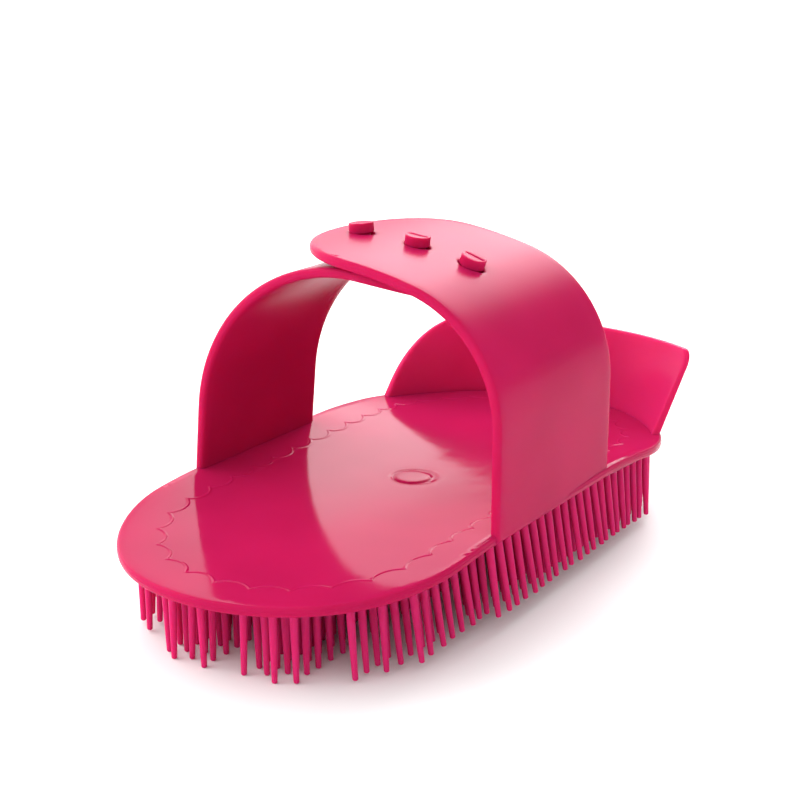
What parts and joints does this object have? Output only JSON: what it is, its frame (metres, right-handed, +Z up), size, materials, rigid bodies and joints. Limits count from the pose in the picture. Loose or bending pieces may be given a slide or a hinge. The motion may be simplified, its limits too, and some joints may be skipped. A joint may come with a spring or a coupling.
{
  "type": "curry comb with hand strap",
  "caption": "Soft plastic curry comb: an oval plate with tapered pins underneath, an upturned end guard and an adjustable two-part hand strap held by studs.",
  "frame": {"origin": "under the middle of the whole object's box, on the plane that the lowest pins stand on", "axes": "+X along the plate towards the end guard, +Y towards the strap half that carries the studs, +Z up out of the plate's top"},
  "size_m": [0.1792, 0.0898, 0.0858],
  "materials": {
    "plate_plastic": "gloss",
    "strap_plastic": "gloss",
    "pin_plastic": "gloss"
  },
  "bodies": {
    "base": {"base_plate": "plate_plastic", "end_guard": "plate_plastic", "pin_row_01": "pin_plastic", "pin_row_02": "pin_plastic", "pin_row_03": "pin_plastic", "pin_row_04": "pin_plastic", "pin_row_05": "pin_plastic", "pin_row_06": "pin_plastic", "pin_row_07": "pin_plastic", "pin_row_08": "pin_plastic", "pin_row_09": "pin_plastic", "pin_row_10": "pin_plastic", "pin_row_11": "pin_plastic", "pin_row_12": "pin_plastic", "pin_row_13": "pin_plastic", "pin_row_14": "pin_plastic", "pin_row_15": "pin_plastic", "pin_row_16": "pin_plastic"},
    "far_strap": {"strap_far": "strap_plastic", "studs": "strap_plastic"},
    "near_strap": {"strap_near": "strap_plastic"},
    "free_end": {"strap_tip": "strap_plastic"}
  },
  "joints": [
    {"name": "near_strap_lean", "type": "hinge", "parent": "base", "child": "near_strap", "pos_m": [-0.0067, -0.04275, 0.02304], "axis": [1, 0, 0], "range_deg": [0, 24], "stiffness_Nm_per_rad": 0.3},
    {"name": "far_strap_lean", "type": "hinge", "parent": "base", "child": "far_strap", "pos_m": [-0.0084, 0.04275, 0.02304], "axis": [1, 0, 0], "range_deg": [0, 21.6], "stiffness_Nm_per_rad": 0.3},
    {"name": "free_end_peel", "type": "hinge", "parent": "near_strap", "child": "free_end", "pos_m": [-0.0067, -0.0301, 0.07248], "axis": [1, 0, 0], "range_deg": [0, 50], "stiffness_Nm_per_rad": 0.3}
  ],
  "couplings": [
    {"joint": "far_strap_lean", "follows": "near_strap_lean", "ratio": 0.9}
  ]
}
